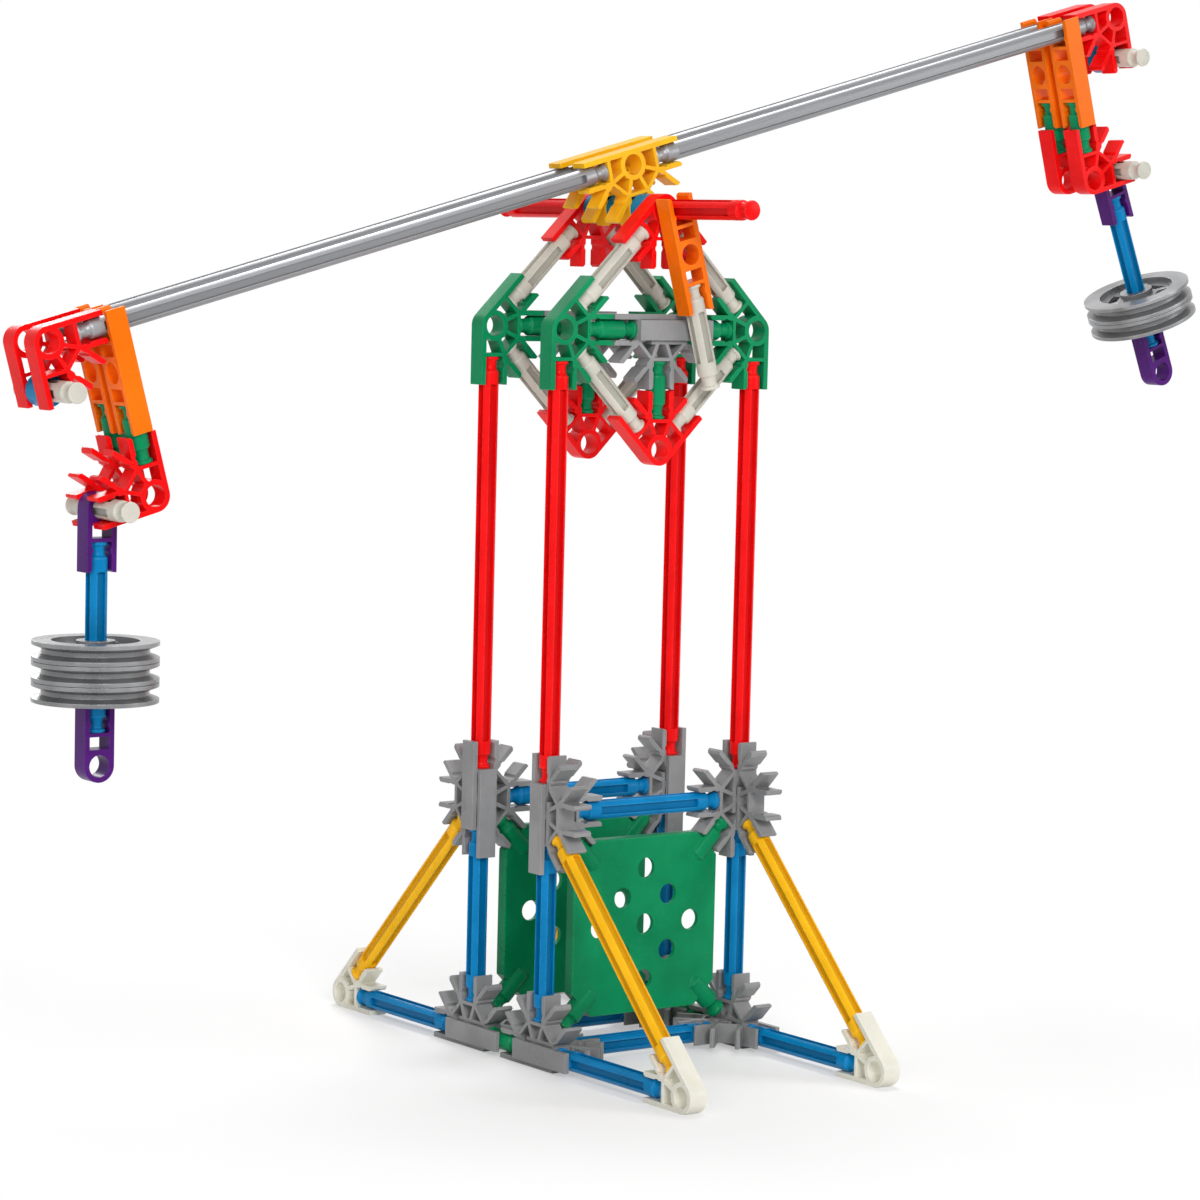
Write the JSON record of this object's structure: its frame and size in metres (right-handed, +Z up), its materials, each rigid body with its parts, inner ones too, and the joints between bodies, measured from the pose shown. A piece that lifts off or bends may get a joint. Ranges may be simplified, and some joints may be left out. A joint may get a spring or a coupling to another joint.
{
  "type": "pulley demonstrator",
  "caption": "Tabletop balance on a braced four-post tower: a tilting beam with swinging hangers that carry grooved pulley wheels.",
  "frame": {"origin": "on the table, midway between the four posts", "axes": "+X along the level beam towards the hanger with fewer wheels, +Y from the pointer side to the back, +Z up"},
  "size_m": [0.4492, 0.1932, 0.3358],
  "materials": {
    "red_plastic": "smooth injection-moulded plastic with a soft gloss",
    "yellow_plastic": "smooth injection-moulded plastic with a soft gloss",
    "orange_plastic": "smooth injection-moulded plastic with a soft gloss",
    "green_plastic": "smooth injection-moulded plastic with a soft gloss",
    "blue_plastic": "smooth injection-moulded plastic with a soft gloss",
    "grey_plastic": "smooth injection-moulded plastic with a soft gloss",
    "ivory_plastic": "smooth injection-moulded plastic with a soft gloss",
    "white_plastic": "smooth injection-moulded plastic with a soft gloss",
    "purple_plastic": "smooth injection-moulded plastic with a soft gloss",
    "silver_plastic": "smooth metallic-grey moulded plastic with a soft gloss",
    "spacer_blue": "smooth injection-moulded plastic with a soft gloss"
  },
  "bodies": {
    "stand": {"base_corner_uprights": "grey_plastic", "base_corner_flats": "grey_plastic", "base_cross_rods": "blue_plastic", "base_tie_rods": "green_plastic", "foot_rods": "blue_plastic", "feet": "ivory_plastic", "lower_posts": "blue_plastic", "brace_rods": "yellow_plastic", "mid_corner_brace_plates": "grey_plastic", "mid_corner_cross_plates": "grey_plastic", "mid_cross_rods": "blue_plastic", "front_panel": "green_plastic", "back_panel": "green_plastic", "upper_posts": "red_plastic", "head_corners": "green_plastic", "head_lower_struts": "white_plastic", "head_upper_struts": "white_plastic", "keel_connectors": "red_plastic", "front_bearing": "red_plastic", "back_bearing": "red_plastic", "head_centre_uprights": "grey_plastic", "head_centre_flats": "grey_plastic", "head_side_rods": "green_plastic", "keel_rods": "green_plastic", "head_link_rod": "green_plastic"},
    "beam": {"axle": "red_plastic", "beam_connectors": "yellow_plastic", "axle_spacers": "spacer_blue", "pointer_clip": "orange_plastic", "pointer_rod": "white_plastic", "left_beam_rods": "silver_plastic", "left_end_connectors": "red_plastic", "left_end_pin": "white_plastic", "left_end_spacer": "spacer_blue", "left_clips": "orange_plastic", "left_drop_rods": "green_plastic", "left_load_connectors": "red_plastic", "left_load_pin": "white_plastic", "right_beam_rods": "silver_plastic", "right_end_connectors": "red_plastic", "right_end_pin": "white_plastic", "right_end_spacer": "spacer_blue", "right_clips": "orange_plastic", "right_drop_rods": "green_plastic", "right_load_connectors": "red_plastic", "right_load_pin": "white_plastic"},
    "left_hanger": {"left_hanger_top_clip": "purple_plastic", "left_hanger_rod": "blue_plastic", "left_hanger_ring": "purple_plastic"},
    "left_wheel_1_body": {"left_wheel_1": "silver_plastic"},
    "left_wheel_2_body": {"left_wheel_2": "silver_plastic"},
    "left_wheel_3_body": {"left_wheel_3": "silver_plastic"},
    "right_hanger": {"right_hanger_top_clip": "purple_plastic", "right_hanger_rod": "blue_plastic", "right_hanger_ring": "purple_plastic"},
    "right_wheel_1_body": {"right_wheel_1": "silver_plastic"},
    "right_wheel_2_body": {"right_wheel_2": "silver_plastic"}
  },
  "joints": [
    {"name": "beam_pivot", "type": "hinge", "parent": "stand", "child": "beam", "pos_m": [0, 0, 0.262], "axis": [0, -1, 0], "range_deg": [-65.5, 34.5]},
    {"name": "left_swing", "type": "hinge", "parent": "beam", "child": "left_hanger", "pos_m": [-0.18318, 0, 0.17306], "axis": [0, -1, 0], "range_deg": [-84.5, 115.5]},
    {"name": "left_wheel_1_spin", "type": "hinge", "parent": "left_hanger", "child": "left_wheel_1_body", "pos_m": [-0.18318, 0, 0.12076], "axis": [0, 0, 1], "continuous": true},
    {"name": "left_wheel_2_spin", "type": "hinge", "parent": "left_hanger", "child": "left_wheel_2_body", "pos_m": [-0.18318, 0, 0.12666], "axis": [0, 0, 1], "continuous": true},
    {"name": "left_wheel_3_spin", "type": "hinge", "parent": "left_hanger", "child": "left_wheel_3_body", "pos_m": [-0.18318, 0, 0.13256], "axis": [0, 0, 1], "continuous": true},
    {"name": "right_swing", "type": "hinge", "parent": "beam", "child": "right_hanger", "pos_m": [0.20283, 0, 0.28011], "axis": [0, -1, 0], "range_deg": [-106.5, 93.5]},
    {"name": "right_wheel_1_spin", "type": "hinge", "parent": "right_hanger", "child": "right_wheel_1_body", "pos_m": [0.22242, 0, 0.23162], "axis": [-0.3746, 0, 0.9272], "continuous": true},
    {"name": "right_wheel_2_spin", "type": "hinge", "parent": "right_hanger", "child": "right_wheel_2_body", "pos_m": [0.22021, 0, 0.23709], "axis": [-0.3746, 0, 0.9272], "continuous": true}
  ]
}
